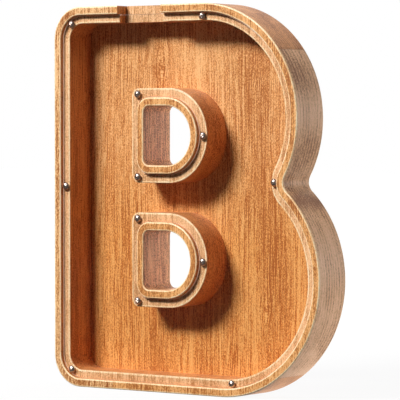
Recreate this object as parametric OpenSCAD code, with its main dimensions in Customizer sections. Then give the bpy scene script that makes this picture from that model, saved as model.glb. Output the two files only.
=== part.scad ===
// Letter-shaped wooden money box with a clear screwed-on front.
//
// The box stands on its flat bottom edge, with its front towards -Y.
// Profiles are drawn in the XY plane, with x from the left edge and y up
// from the bottom edge, and slab() stands them up at a depth behind the front.

/* [Outline] */
// Height of the box, mm
body_h = 230; // [200:1:260]
// Depth of the box, front to back, mm
body_d = 27.4; // [24:0.2:40]
// Radius of the two left corners, mm
corner_r = 19.5; // [15:0.5:30]
// Radius of the upper bowl, mm
upper_r = 67.5; // [62:0.5:70]
// Distance of the upper bowl's centre from the left edge, mm
upper_x = 111; // [104:0.5:118]
// Radius of the lower bowl, mm
lower_r = 69; // [64:0.5:72]
// Distance of the lower bowl's centre from the left edge, mm
lower_x = 125; // [116:0.5:132]
// Radius of the fillet in the waist between the bowls, mm
waist_r = 7; // [4:0.5:12]

/* [Walls] */
// Width of the raised rim in front of the window's edge, mm
rim_w = 5; // [4:0.2:6]
// Width of the ledge that the window lies on, mm
ledge_w = 5; // [4:0.2:6]
// Depth of the rebate that takes the window, mm
rebate_d = 3.6; // [3.6:0.1:5]
// Thickness of the floor at the back, mm
floor_t = 3.8; // [3:0.2:6]

/* [Rings round the two through holes] */
// Distance of the holes from the left edge, mm
hole_x = 68; // [64:0.5:72]
// Width of each hole, mm
hole_w = 34.5; // [32:0.5:38]
// Height of each hole, mm
hole_h = 35.3; // [30:0.1:36]
// Radius of each hole's left corners, mm
hole_corner = 4; // [2:0.5:6]
// Height of the upper hole's centre, mm
upper_hole_z = 152.4; // [146:0.2:158]
// Height of the lower hole's centre, mm
lower_hole_z = 78.4; // [72:0.2:84]
// Width of each ring's ledge, outside its rim, mm
ring_ledge_w = 5.5; // [5.2:0.1:6.5]
// Radius of each ring's outer left corners, mm
ring_corner = 5; // [3:0.5:6]

/* [Coin slot] */
// Distance of the slot's left end from the left edge, mm
slot_x = 48.5; // [47:0.5:52]
// Length of the slot, mm
slot_w = 32.5; // [28:0.5:34]
// Gap between the window's back face and the slot's rear wall, mm
slot_gap = 5.7; // [4:0.1:8]

/* [Glued staves] */
// Width of the left stave, mm
left_stave_w = 45; // [42:0.5:46]
// Width of the stave with the coin slot, mm
slot_stave_w = 43; // [42:0.5:46]
// Width of the stave in the middle of the bowls, mm
centre_stave_w = 51; // [47:0.5:53]
// Width of the right stave at the waist, mm
waist_land = 3.2; // [2:0.2:4]

/* [Window] */
// Thickness of the clear sheet, mm
window_t = 1.8; // [1.5:0.1:2]
// Gap all round the sheet, and round the ring rims, mm
window_gap = 0.4; // [0.2:0.1:0.6]

/* [Screws] */
// Diameter of a screw head, mm
head_d = 4.6; // [4:0.1:4.8]
// Height of a screw head, mm
head_h = 1.4; // [1:0.1:1.6]
// Diameter of a screw's thread, mm
shank_d = 2.2; // [2:0.1:2.4]
// Length of a screw under its head, mm
screw_l = 12; // [10:0.5:16]
// Length of a screw's point, mm
point_l = 2.5; // [2:0.1:3]
// Width of the cross recess, mm
recess_w = 0.6; // [0.5:0.1:0.8]
// Depth of the cross recess, mm
recess_d = 0.7; // [0.5:0.1:0.9]
// Length of each slot of the cross recess, mm
recess_l = 2.4; // [2:0.1:3]
// Radial gap round a screw in the wood, mm
pilot_gap = 0.05; // [0.02:0.01:0.1]
// Radial gap round a screw in the window, mm
window_hole_gap = 0.4; // [0.2:0.1:0.5]
// Depth of a pilot hole past the screw's point, mm
pilot_spare = 1; // [0.5:0.1:2]
// Angle of the two corner screws above or below the corner's centre, degrees
corner_screw_angle = 51; // [40:1:60]
// Height of the screw in the left wall, mm
left_screw_z = 121.6; // [100:0.2:130]
// Distance of the top screw to the left of the upper bowl's centre, mm
top_screw_in = 1; // [0:0.5:8]
// Angle of the bottom screw past the lower bowl's lowest point, degrees
bottom_screw_angle = 6; // [0:1:7]
// Distance of a ring's corner screws from the ring's outer left edge, mm
ring_screw_x = 5; // [4:0.1:5.5]
// Distance of a ring's corner screws from its outer top or bottom edge, mm
ring_screw_z = 3.5; // [3:0.1:4]
// Distance of a ring's third screw from its outer right edge, mm
ring_screw_edge = 2.4; // [2.2:0.1:3]

/* [Hidden] */
$fn = 96;

// How far a cut runs past the face that it opens
cut = 1;

body_w = max(lower_x + lower_r, upper_x + upper_r);
wall_w = rim_w + ledge_w;
ring_w = rim_w + ring_ledge_w;
chamber_back = body_d - floor_t;
// Depth of the window's front face, on which the screw heads are seated
seat_d = rebate_d - window_t;

// The waist fillet's centre lies at one radius sum from each bowl's centre
upper_c = [upper_x, body_h - upper_r];
lower_c = [lower_x, lower_r];
upper_reach = upper_r + waist_r;
lower_reach = lower_r + waist_r;
between = lower_c - upper_c;
span = norm(between);
along = (upper_reach * upper_reach - lower_reach * lower_reach + span * span) / (2 * span);
aside = sqrt(upper_reach * upper_reach - along * along);
unit = between / span;
waist_c = upper_c + along * unit + aside * [-unit.y, unit.x];
waist_x = waist_c.x - waist_r;

// The glue lines between the staves, from the left edge
glue_1 = left_stave_w;
glue_2 = glue_1 + slot_stave_w;
glue_3 = glue_2 + centre_stave_w;
glue_4 = waist_x - waist_land;

// The screws, as [x, z] from the left edge and the bottom
ledge_mid = rim_w + ledge_w / 2;
corner_reach = corner_r - ledge_mid;
corner_dx = corner_reach * cos(corner_screw_angle);
corner_dz = corner_reach * sin(corner_screw_angle);
bottom_reach = lower_r - ledge_mid;
FRAME_SCREWS = [
    [corner_r - corner_dx, body_h - corner_r + corner_dz],
    [upper_x - top_screw_in, body_h - ledge_mid],
    [waist_x - ledge_mid, waist_c.y],
    lower_c + bottom_reach * [sin(bottom_screw_angle), -cos(bottom_screw_angle)],
    [corner_r - corner_dx, corner_r - corner_dz],
    [ledge_mid, left_screw_z]
];
function ring_screws(z) = [
    [hole_x - ring_w + ring_screw_x, z + hole_h / 2 + ring_w - ring_screw_z],
    [hole_x + hole_w + ring_w - ring_screw_edge, z],
    [hole_x - ring_w + ring_screw_x, z - hole_h / 2 - ring_w + ring_screw_z]
];
UPPER_SCREWS = ring_screws(upper_hole_z);
LOWER_SCREWS = ring_screws(lower_hole_z);
ALL_SCREWS = concat(FRAME_SCREWS, UPPER_SCREWS, LOWER_SCREWS);

// Stands a profile up between two depths behind the front face
module slab(from, to) {
    translate([-body_w / 2, to - body_d / 2, 0])
        rotate([90, 0, 0])
            linear_extrude(to - from) children();
}

// The box's outline, moved inward by d
module outline(d) {
    for (y = [corner_r, body_h - corner_r])
        translate([corner_r, y]) circle(corner_r - d);
    translate([d, corner_r]) square([corner_r - d, body_h - 2 * corner_r]);
    difference() {
        union() {
            polygon([
                [corner_r, d], [lower_x, d], lower_c, waist_c, upper_c,
                [upper_x, body_h - d], [corner_r, body_h - d]
            ]);
            translate(upper_c) circle(upper_r - d);
            translate(lower_c) circle(lower_r - d);
        }
        translate(waist_c) circle(waist_r + d);
    }
}

// A through hole's outline, moved outward by grow, with left corners of radius corner
module dee(grow, corner) {
    r = hole_h / 2 + grow;
    left = hole_x - grow;
    bow_x = hole_x + hole_w - hole_h / 2;
    translate([bow_x, 0]) intersection() {
        circle(r);
        translate([0, -r]) square([r, 2 * r]);
    }
    translate([left + corner, -r]) square([bow_x - left - corner, 2 * r]);
    translate([left, corner - r]) square([corner, 2 * (r - corner)]);
    for (side = [-1, 1])
        translate([left + corner, side * (r - corner)]) circle(corner);
}

module both_dees(grow, corner) {
    for (z = [upper_hole_z, lower_hole_z])
        translate([0, z]) dee(grow, corner);
}

module at_screws(places) {
    for (place = places)
        translate(place) children();
}

// The wooden box, before it is told apart into its staves
module box() {
    difference() {
        slab(0, body_d) outline(0);
        slab(-cut, rebate_d) difference() {
            outline(rim_w);
            both_dees(rim_w, hole_corner + rim_w);
        }
        slab(-cut, chamber_back) difference() {
            outline(wall_w);
            both_dees(ring_w, ring_corner);
        }
        slab(-cut, body_d + cut) both_dees(0, hole_corner);
        slab(-cut, rebate_d + slot_gap)
            translate([slot_x, body_h - wall_w - cut]) square([slot_w, wall_w + 2 * cut]);
        slab(0, seat_d + screw_l + pilot_spare)
            at_screws(ALL_SCREWS) circle(shank_d / 2 + pilot_gap, $fn = 32);
    }
}

// The part of the box between two glue lines
module stave(from, to) {
    intersection() {
        box();
        slab(-cut, body_d + cut)
            translate([from, -cut]) square([to - from, body_h + 2 * cut]);
    }
}

module left_stave() { color("#e0a86f") stave(-cut, glue_1); }
module slot_stave() { color("#dc9f62") stave(glue_1, glue_2); }
module centre_stave() { color("#e3ae76") stave(glue_2, glue_3); }
module waist_stave() { color("#d9985a") stave(glue_3, glue_4); }
module right_stave() { color("#cf9a68") stave(glue_4, body_w + cut); }

module front_window() {
    color("#dfe9ee80")
        slab(seat_d, rebate_d) difference() {
            outline(rim_w + window_gap);
            both_dees(rim_w + window_gap, hole_corner + rim_w + window_gap);
            at_screws(ALL_SCREWS) circle(shank_d / 2 + window_hole_gap, $fn = 32);
        }
}

// One screw, with its head's seat at z = 0 and its point towards -z
module screw() {
    // The dome is a slice of a ball that meets the seat at the head's edge
    ball_r = (pow(head_d / 2, 2) + pow(head_h, 2)) / (2 * head_h);
    difference() {
        intersection() {
            translate([0, 0, head_h - ball_r]) sphere(ball_r, $fn = 64);
            cylinder(h = head_h, d = head_d, $fn = 48);
        }
        for (turn = [0, 90])
            rotate([0, 0, turn])
                translate([-recess_l / 2, -recess_w / 2, head_h - recess_d])
                    cube([recess_l, recess_w, recess_d + cut]);
    }
    translate([0, 0, point_l - screw_l]) cylinder(h = screw_l - point_l, d = shank_d, $fn = 32);
    translate([0, 0, -screw_l]) cylinder(h = point_l, d1 = shank_d / 8, d2 = shank_d, $fn = 32);
}

module screws(places) {
    color("#b8b9bb")
        for (place = places)
            translate([place.x - body_w / 2, seat_d - body_d / 2, place.y])
                rotate([90, 0, 0]) screw();
}

module frame_screws() { screws(FRAME_SCREWS); }
module upper_ring_screws() { screws(UPPER_SCREWS); }
module lower_ring_screws() { screws(LOWER_SCREWS); }

left_stave();
slot_stave();
centre_stave();
waist_stave();
right_stave();
front_window();
frame_screws();
upper_ring_screws();
lower_ring_screws();
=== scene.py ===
# %% [markdown]
# # A letter-shaped wooden money box
# The real object is a shallow box sawn and routed from a board of glued staves. Its front is
# closed by a clear acrylic sheet that twelve small steel screws hold down. Two holes, each with a
# raised ring round it, go through the whole board. This lesson builds the looks of the box round
# a fixed model of its solids, which is loaded first and is never moved.

import math

import bmesh
import bpy
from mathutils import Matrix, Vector


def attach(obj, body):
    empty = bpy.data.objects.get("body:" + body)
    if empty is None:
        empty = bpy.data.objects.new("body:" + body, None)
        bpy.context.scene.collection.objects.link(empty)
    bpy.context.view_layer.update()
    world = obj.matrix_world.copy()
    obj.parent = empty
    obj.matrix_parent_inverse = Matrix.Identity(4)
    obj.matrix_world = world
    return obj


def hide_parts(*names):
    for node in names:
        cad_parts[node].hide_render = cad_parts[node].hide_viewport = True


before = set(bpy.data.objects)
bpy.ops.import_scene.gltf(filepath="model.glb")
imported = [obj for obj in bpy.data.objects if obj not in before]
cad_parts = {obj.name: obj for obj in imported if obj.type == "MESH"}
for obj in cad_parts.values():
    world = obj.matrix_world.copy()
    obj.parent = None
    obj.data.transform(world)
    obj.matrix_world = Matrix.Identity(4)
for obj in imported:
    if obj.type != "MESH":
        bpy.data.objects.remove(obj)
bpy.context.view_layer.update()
print("solids:", sorted(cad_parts))

# %% [markdown]
# ## Sizes
# A joiner would write the sizes of the box on one sheet. They are given here in millimetres, as
# distances from the left edge, from the bottom and from the front face. One function turns such
# a place into metres in the frame of the model.

# %% The box's sizes
MM = 0.001
BODY_W = 194.0
BODY_H = 230.0
BODY_D = 27.4
CORNER_R = 19.5
UPPER_R = 67.5
LOWER_R = 69.0
WAIST_R = 7.0
UPPER_C = Vector((111.0, BODY_H - UPPER_R))
LOWER_C = Vector((125.0, LOWER_R))


def place(x, z, depth):
    """A point of the box in metres, from millimetres off its left edge, bottom and front."""
    return Vector(((x - BODY_W / 2) * MM, (depth - BODY_D / 2) * MM, z * MM))


# The waist's fillet touches both bowls, so its centre is one sum of radii from each bowl's centre
between = LOWER_C - UPPER_C
upper_reach = UPPER_R + WAIST_R
lower_reach = LOWER_R + WAIST_R
along = (upper_reach**2 - lower_reach**2 + between.length_squared) / (2 * between.length)
aside = math.sqrt(upper_reach**2 - along**2)
unit = between.normalized()
WAIST_C = UPPER_C + along * unit + aside * Vector((-unit.y, unit.x))
print("waist centre:", tuple(round(c, 2) for c in WAIST_C))

# %% [markdown]
# ## A helper for nodes and one for colours
# The studio, the screws and every finish are built from nodes. Such trees can be drawn by hand,
# but a script that adds each node in one line can be read from top to bottom and run again. One
# small function adds a node of any kind, and the kinds that come back often get a short name.
# Colours are written as sRGB hex codes, and a second function turns them to linear.

# %% Helpers for nodes and colours
MATH = "ShaderNodeMath"
RANGE = "ShaderNodeMapRange"
MIX = "ShaderNodeMix"
SPLIT = "ShaderNodeSeparateXYZ"
COMBINE = "ShaderNodeCombineXYZ"
VECTOR = "ShaderNodeVectorMath"
COORDINATES = "ShaderNodeTexCoord"
NOISE = "ShaderNodeTexNoise"
PRINCIPLED = "ShaderNodeBsdfPrincipled"
MIX_SHADERS = "ShaderNodeMixShader"
WHITE = (1.0, 1.0, 1.0, 1.0)


def add(tree, kind, inputs=(), **settings):
    """Adds one node with its settings and links.

    inputs is a list in the order of the sockets, or a dict by name or number. A node in it stands
    for its first output in use, a list is for a socket that takes several links, and anything
    else is set as the socket's own value.
    """
    made = tree.nodes.new(kind)
    for name, value in settings.items():
        setattr(made, name, value)
    pairs = inputs.items() if isinstance(inputs, dict) else enumerate(inputs)
    for key, item in pairs:
        for value in item if isinstance(item, list) else [item]:
            if isinstance(value, bpy.types.Node):
                value = next(output for output in value.outputs if output.enabled)
            if isinstance(value, bpy.types.NodeSocket):
                tree.links.new(value, made.inputs[key])
            else:
                made.inputs[key].default_value = value
    return made


def hex_to_linear(code):
    """A colour written as an sRGB hex code, as linear red, green, blue and alpha."""
    parts = [int(code[i:i + 2], 16) / 255 for i in (1, 3, 5)]
    return tuple(c / 12.92 if c <= 0.04045 else ((c + 0.055) / 1.055) ** 2.4 for c in parts) + (1.0,)


print("mid grey #808080 is", round(hex_to_linear("#808080")[0], 3), "in linear light")

# %% [markdown]
# ## The camera
# A shop takes such a box from well to its right, at the height of its middle, so that one
# outer side and the walls of both holes show. A long lens from 1.6 m away keeps the upright
# edges nearly parallel. The camera's place is worked out from two angles and a distance round a
# point in the box, because those are easier to judge than three coordinates.

# %% The camera
CAMERA_AZIMUTH = math.radians(36.13)
CAMERA_ELEVATION = math.radians(1.62)
CAMERA_DISTANCE = 1.5703
CAMERA_LENS = 241.36
TARGET = Vector((0.01297, -0.0137, 0.11479))

camera_back = Vector((
    math.sin(CAMERA_AZIMUTH) * math.cos(CAMERA_ELEVATION),
    -math.cos(CAMERA_AZIMUTH) * math.cos(CAMERA_ELEVATION),
    math.sin(CAMERA_ELEVATION),
))
camera_data = bpy.data.cameras.new("studio_camera")
camera_data.sensor_width = 36.0
camera_data.lens = CAMERA_LENS
camera_data.clip_start = 0.01
camera_data.clip_end = 100.0
camera = bpy.data.objects.new("studio_camera", camera_data)
camera.location = TARGET + CAMERA_DISTANCE * camera_back
camera.rotation_euler = (-camera_back).to_track_quat("-Z", "Y").to_euler()
bpy.context.scene.collection.objects.link(camera)
bpy.context.scene.camera = camera
bpy.context.scene.view_settings.view_transform = "Standard"
print("camera at", tuple(round(c, 3) for c in camera.location))

# %% [markdown]
# ## The studio
# A bright backdrop stands behind the box, and the room on the camera's side is dim. That is why
# the outer sides of the real box look bright and a little grey, and its chamber deep. Both could
# be built as large planes, but the world can play them: its strength depends on the direction
# that a ray leaves in. A camera ray sees plain white wherever it goes, and so does a ray through
# the clear front. A mirrored ray sees white where the backdrop is.

# %% The world: a white backdrop behind, a dim room in front
BACKDROP = 1.05
CEILING = 0.15
ROOM = 0.045
BACKDROP_STARTS, BACKDROP_FULL = -0.15, 0.35
LOW_LIGHT, HIGH_LIGHT = -0.05, 0.65


def sees_white(tree, behind):
    """1 for a ray that should see plain white, where behind is 1 in front of the backdrop."""
    ray = add(tree, "ShaderNodeLightPath").outputs
    mirrored = add(tree, MATH, [ray["Is Glossy Ray"], behind], operation="MULTIPLY")
    direct = add(tree, MATH, [ray["Is Camera Ray"], ray["Is Transmission Ray"]], operation="MAXIMUM")
    return add(tree, MATH, [direct, mirrored], operation="MAXIMUM")


world = bpy.data.worlds.new("studio")
bpy.context.scene.world = world
world.use_nodes = True
sky = world.node_tree
sky.nodes.clear()
direction = add(sky, SPLIT, [add(sky, COORDINATES).outputs["Generated"]]).outputs
behind = add(sky, RANGE, [direction["Y"], BACKDROP_STARTS, BACKDROP_FULL, 0.0, 1.0],
             interpolation_type="SMOOTHSTEP")
bright_low = add(sky, RANGE, [direction["Z"], LOW_LIGHT, HIGH_LIGHT, BACKDROP, BACKDROP * CEILING],
                 interpolation_type="SMOOTHSTEP")
studio = add(sky, MIX, {"Factor": behind, "A": ROOM, "B": bright_low}, data_type="FLOAT")
strength = add(sky, MIX, {"Factor": sees_white(sky, behind), "A": studio, "B": 1.0}, data_type="FLOAT")
lit = add(sky, "ShaderNodeBackground", {"Color": WHITE, "Strength": strength})
add(sky, "ShaderNodeOutputWorld", [lit])
print("world nodes:", len(sky.nodes))

# %% [markdown]
# ## The lamps
# One large soft box high on the left is the key light, and draws the soft shadows inside the
# chamber. Three weaker ones each do one job that the world does too evenly. Area lamps are used
# for all four, because their size sets how soft a shadow's edge is.

# %% The lamps
AIM = Vector((0, 0, BODY_H / 2 * MM))


def softbox(name, place_at, width, height, power):
    """A soft lamp that faces the box. The camera doesn't see the lamp itself."""
    data = bpy.data.lights.new(name, "AREA")
    data.shape = "RECTANGLE"
    data.size = width
    data.size_y = height
    data.energy = power
    lamp = bpy.data.objects.new(name, data)
    lamp.location = place_at
    lamp.rotation_euler = (AIM - lamp.location).to_track_quat("-Z", "Y").to_euler()
    lamp.visible_camera = False
    bpy.context.scene.collection.objects.link(lamp)
    return lamp


key = softbox("key_softbox", Vector((-0.86, -2.0, 1.72)), width=1.0, height=0.52, power=99.0)
# The side lamp stands behind on the right, and shines on the outer side and through the holes
side_place = AIM + 1.4 * Vector((0.78, 0.62, 0.0))
side_lamp = softbox("side_softbox", side_place, width=0.7, height=0.7, power=7.6)
# The top lamp hangs behind, and shines on the upper edges alone
top_lamp = softbox("top_softbox", Vector((-0.05, 0.45, 1.15)), width=0.4, height=0.4, power=2.5)
# A white card lies on the floor on the right and throws light back up
card = softbox("bounce_card", Vector((0.17, 0.11, 0.0008)), width=0.36, height=0.24, power=0.24)
card.rotation_euler = (math.pi, 0, 0)
print("lamps:", [(lamp.name, round(lamp.data.energy, 2)) for lamp in (key, side_lamp, top_lamp, card)])

# %% [markdown]
# ## The floor
# The box stands on white paper that runs on into the backdrop. Lit paper would show an edge
# where it ends, so most of its white is a glow that only the camera, glass and mirrors see. The
# paper under the glow is dark grey, and takes a soft shadow round the foot of the box.

# %% The floor
FLOOR_HALF = 6.0
NEAR_GLOW = 0.93
FAR_GLOW = 1.0
NEAR_REACH = 0.2
FAR_REACH = 0.8
MIRRORED_FROM = 0.3

floor_mesh = bpy.data.meshes.new("studio_floor")
floor_corners = [(-1, -1), (1, -1), (1, 1), (-1, 1)]
floor_mesh.from_pydata([(x * FLOOR_HALF, y * FLOOR_HALF, 0) for x, y in floor_corners], [], [(0, 1, 2, 3)])
floor = bpy.data.objects.new("studio_floor", floor_mesh)
bpy.context.scene.collection.objects.link(floor)


def empty_material(name):
    """A new material whose tree is still empty, and that tree."""
    material = bpy.data.materials.new(name)
    material.use_nodes = True
    material.node_tree.nodes.clear()
    return material, material.node_tree


paper, tree = empty_material("white_paper_floor")
spot = add(tree, COORDINATES).outputs["Object"]
reach = add(tree, VECTOR, [spot], operation="LENGTH")
level = add(tree, RANGE, [reach, NEAR_REACH, FAR_REACH, NEAR_GLOW, FAR_GLOW],
            interpolation_type="SMOOTHSTEP")
beyond = add(tree, RANGE, [add(tree, SPLIT, [spot]).outputs["Y"], 0.0, MIRRORED_FROM],
             interpolation_type="SMOOTHSTEP")
glow_level = add(tree, MATH, [sees_white(tree, beyond), level], operation="MULTIPLY")
matt = add(tree, "ShaderNodeBsdfDiffuse", {"Color": hex_to_linear("#474747")})
glow = add(tree, "ShaderNodeEmission", {"Color": WHITE, "Strength": glow_level})
paper_shader = add(tree, "ShaderNodeAddShader", [matt, glow])
add(tree, "ShaderNodeOutputMaterial", [paper_shader])
floor_mesh.materials.append(paper)
print("floor:", 2 * FLOOR_HALF, "m wide,", len(tree.nodes), "nodes")

# %% [markdown]
# ## The outline
# Every wall of the box follows the same outline, moved in by some millimetres: a letter's two
# bowls on the right, joined by a small fillet at the waist, and two round corners on the left.
# A scaled copy of the outline won't do, because the wall between the two would not be equally
# thick all round. All its arcs meet where the line through their centres crosses them, so a
# moved outline keeps its corners at the same angles. Each one is therefore drawn anew with the
# same count of points, and two of them can be joined point to point.

# %% Points along arcs and lines
ARC_STEP = 2.5


def arc(centre, radius, start, end):
    """Points on an arc from angle start to angle end in degrees, both ends included."""
    steps = max(2, math.ceil(abs(end - start) / ARC_STEP))
    angles = [math.radians(start + (end - start) * i / steps) for i in range(steps + 1)]
    return [(centre[0] + radius * math.cos(a), centre[1] + radius * math.sin(a)) for a in angles]


def line(start, end, steps):
    """Points between two ends, which are left out."""
    return [tuple(start[k] + (end[k] - start[k]) * i / steps for k in (0, 1)) for i in range(1, steps)]


print("a quarter circle has", len(arc((0, 0), 1, 0, 90)), "points")

# %% The box's outline
STRAIGHT = 20.0
STRAIGHT_STEPS = 12
LEFT_STEPS = 24


def angle_of(vector):
    """The direction of a flat vector, in degrees."""
    return math.degrees(math.atan2(vector.y, vector.x))


LOWER_TURN = angle_of(WAIST_C - LOWER_C)
UPPER_TURN = angle_of(WAIST_C - UPPER_C)


def outline(inward):
    """The box's outline moved inward, anticlockwise as seen from the front."""
    corner = CORNER_R - inward
    pieces = [
        arc((CORNER_R, CORNER_R), corner, 180, 270),
        arc(LOWER_C, LOWER_R - inward, -90, LOWER_TURN),
        arc(WAIST_C, WAIST_R + inward, LOWER_TURN + 180, UPPER_TURN + 180)[1:-1],
        arc(UPPER_C, UPPER_R - inward, UPPER_TURN, 90),
        arc((CORNER_R, BODY_H - CORNER_R), corner, 90, 180),
    ]
    points = []
    for piece in pieces:
        if points and math.dist(points[-1], piece[0]) > STRAIGHT:
            points += line(points[-1], piece[0], STRAIGHT_STEPS)
        points += piece
    return points + line(points[-1], points[0], LEFT_STEPS)


print("outline points:", len(outline(0)), "and 10 mm further in:", len(outline(10)))

# %% The outline of a hole
HOLE_X = 68.0
HOLE_W = 34.5
HOLE_H = 35.3
HOLE_CORNER = 4.0
UPPER_HOLE_Z = 152.4
LOWER_HOLE_Z = 78.4
SHORT_STEPS = 4
UPRIGHT_STEPS = 8


def dee(z, outward, corner):
    """A through hole's outline moved outward, with left corners of the given radius."""
    r = HOLE_H / 2 + outward
    left = HOLE_X - outward
    bow = HOLE_X + HOLE_W - HOLE_H / 2
    lower_left = arc((left + corner, z - r + corner), corner, 180, 270)
    bow_side = arc((bow, z), r, -90, 90)
    upper_left = arc((left + corner, z + r - corner), corner, 90, 180)
    points = lower_left + line(lower_left[-1], bow_side[0], SHORT_STEPS) + bow_side
    points += line(bow_side[-1], upper_left[0], SHORT_STEPS) + upper_left
    return points + line(upper_left[-1], lower_left[0], UPRIGHT_STEPS)


print("hole points:", len(dee(UPPER_HOLE_Z, 0, HOLE_CORNER)))

# %% [markdown]
# ## The wooden box
# On the real box a router cuts three steps into the board: a shallow rebate for the clear sheet,
# the deep money chamber, and the holes. The arrises are then sanded to a small round, which
# catches the light as a thin bright line; here that line is also painted in, as a pale colour on
# the round and a pale strip beside it. A Boolean and a Bevel modifier could do all that.
# Here each wall is a loft instead, because a loft knows every strip that it makes: a list of
# stations goes from the back edge over the front and down to the chamber's floor, each station
# is an outline at a depth, and it also says which finish the strip before it takes.

# %% A sanded arris
RIM_W = 5.0
LEDGE_W = 5.0
REBATE_D = 3.6
FLOOR_THICK = 3.8
CHAMBER_BACK = BODY_D - FLOOR_THICK
RING_W = 10.5
RING_CORNER = 5.0
ROUND_R = 0.65
BACK_ROUND_R = 0.8
LEDGE_ROUND_R = 0.45
# The next two widths are of pale strips beside the arrises, for wear and as painted highlight lines; the
# ledge's wider one is a painted highlight line
WEAR_HIGHLIGHT = 0.2
LEDGE_WEAR_HIGHLIGHT = 0.6
FACE, SIDE, CHAMBER, HOLE, FLOOR, ARRIS, LEDGE, SLOT = range(8)

# Directions in a profile of (distance inward, depth)
IN, OUT, DEEP, FRONT = (1, 0), (-1, 0), (0, 1), (0, -1)


def rounded(offset, depth, face_before, face_after, radius, steps=3):
    """A quarter round in place of a sharp corner.

    face_before and face_after point from the corner along the face that the profile comes by and
    the face that it goes on by.
    """
    centre = [corner + radius * (before + after)
              for corner, before, after in zip((offset, depth), face_before, face_after)]
    points = []
    for i in range(steps + 1):
        a = math.pi / 2 * i / steps
        points.append(tuple(
            c - radius * (after * math.cos(a) + before * math.sin(a))
            for c, before, after in zip(centre, face_before, face_after)
        ))
    return points


def sanded(points, zone_before, wear_highlight_before=None, wear_highlight_after=None, wear_highlight_width=WEAR_HIGHLIGHT):
    """The stations of a rounded arris, with a pale strip on the flat face before or after it: wear, and a
    painted highlight line.
    """
    stations = [(*p, ARRIS) for p in points]
    (x0, d0), (x1, d1) = points[0], points[-1]
    if wear_highlight_before:
        stations.insert(0, (x0 + wear_highlight_width * wear_highlight_before[0], d0 + wear_highlight_width * wear_highlight_before[1], ARRIS))
    if wear_highlight_after:
        stations.append((x1 + wear_highlight_width * wear_highlight_after[0], d1 + wear_highlight_width * wear_highlight_after[1], ARRIS))
    stations[0] = (*stations[0][:2], zone_before)
    return stations


print("stations of one front arris:", len(sanded(rounded(0, 0, DEEP, IN, ROUND_R), SIDE, wear_highlight_after=IN)))

# %% The profiles of the outer wall and of a ring
# The pale arrises and strips in these profiles carry painted highlight lines as well as wear
outer_profile = (
    sanded(rounded(0, BODY_D, IN, FRONT, BACK_ROUND_R), FACE)
    + sanded(rounded(0, 0, DEEP, IN, ROUND_R), SIDE, wear_highlight_after=IN)
    + sanded(rounded(RIM_W, 0, OUT, DEEP, ROUND_R), FACE, wear_highlight_before=OUT)
    # The rebate wall takes the chamber wall's finish as painted shade, for the rim's shadow that it lies in
    + [(RIM_W, REBATE_D, CHAMBER)]
    + sanded(rounded(RIM_W + LEDGE_W, REBATE_D, OUT, DEEP, LEDGE_ROUND_R), LEDGE,
             wear_highlight_before=OUT, wear_highlight_width=LEDGE_WEAR_HIGHLIGHT)
    + [(RIM_W + LEDGE_W, CHAMBER_BACK, CHAMBER)]
)
# A ring's profile runs the other way: from the chamber's floor over its front to the back
ring_profile = (
    [(RING_W, CHAMBER_BACK, CHAMBER)]
    + sanded(rounded(RING_W, REBATE_D, DEEP, OUT, LEDGE_ROUND_R), CHAMBER,
             wear_highlight_after=OUT, wear_highlight_width=LEDGE_WEAR_HIGHLIGHT)
    + [(RIM_W, REBATE_D, LEDGE)]
    # The ring's rebate wall takes the chamber wall's finish too, as painted shade
    + sanded(rounded(RIM_W, 0, DEEP, OUT, ROUND_R), CHAMBER, wear_highlight_after=OUT)
    + sanded(rounded(0, 0, IN, DEEP, ROUND_R), FACE, wear_highlight_before=IN)
    + sanded(rounded(0, BODY_D, FRONT, IN, BACK_ROUND_R), HOLE)
)
print("stations of the outer wall:", len(outer_profile), "and of a ring:", len(ring_profile))

# %% A loft between stations, and flat faces between loops


def loft(mesh, rings, zones):
    """Joins rings of points, all of one count, into strips, and returns the first and last verts."""
    made = [[mesh.verts.new(p) for p in ring] for ring in rings]
    for before, after, zone in zip(made, made[1:], zones[1:]):
        for i in range(len(before)):
            j = (i + 1) % len(before)
            strip = mesh.faces.new((before[i], before[j], after[j], after[i]))
            strip.material_index = zone
            strip.smooth = True
    return made[0], made[-1]


def face_up(filled, normal, zone):
    """Turns new flat faces to look along a normal, gives them a zone and returns them."""
    faces = [f for f in filled["geom"] if isinstance(f, bmesh.types.BMFace)]
    for flat in faces:
        if flat.normal.dot(Vector(normal)) < 0:
            flat.normal_flip()
        flat.material_index = zone
        flat.smooth = True
    return faces


def fill(mesh, loops, normal, zone):
    """Fills the flat area between loops of verts."""
    edges = [mesh.edges.get(ends) for loop in loops for ends in zip(loop, loop[1:] + loop[:1])]
    filled = bmesh.ops.triangle_fill(mesh, edges=edges, use_beauty=True, normal=normal)
    return face_up(filled, normal, zone)


body = bmesh.new()
rings = [[place(x, z, depth) for x, z in outline(offset)] for offset, depth, _ in outer_profile]
back_loop, floor_loop = loft(body, rings, [zone for *_, zone in outer_profile])
print("faces of the outer wall:", len(body.faces))

# %% The rings, the chamber's floor and the back


def ring_corner(offset, depth):
    """A ring's left corners are concentric with the hole's, but small where it stands in the chamber."""
    in_chamber = depth > REBATE_D / 2 and offset > RIM_W + 1
    return RING_CORNER if in_chamber else HOLE_CORNER + offset


back_loops = [back_loop]
floor_loops = [floor_loop]
for hole_z in (UPPER_HOLE_Z, LOWER_HOLE_Z):
    rings = [[place(x, z, d) for x, z in dee(hole_z, offset, ring_corner(offset, d))]
             for offset, d, _ in ring_profile]
    first, last = loft(body, rings, [zone for *_, zone in ring_profile])
    floor_loops.append(first)
    back_loops.append(last)

body.normal_update()
floor_faces = fill(body, floor_loops, (0, -1, 0), FLOOR)
back_faces = fill(body, back_loops, (0, 1, 0), FACE)
print("faces of the floor:", len(floor_faces), "and of the back:", len(back_faces))
print("open edges:", sum(1 for e in body.edges if not e.is_manifold),
      "volume cm3:", round(body.calc_volume() * 1e6, 1))

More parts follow.
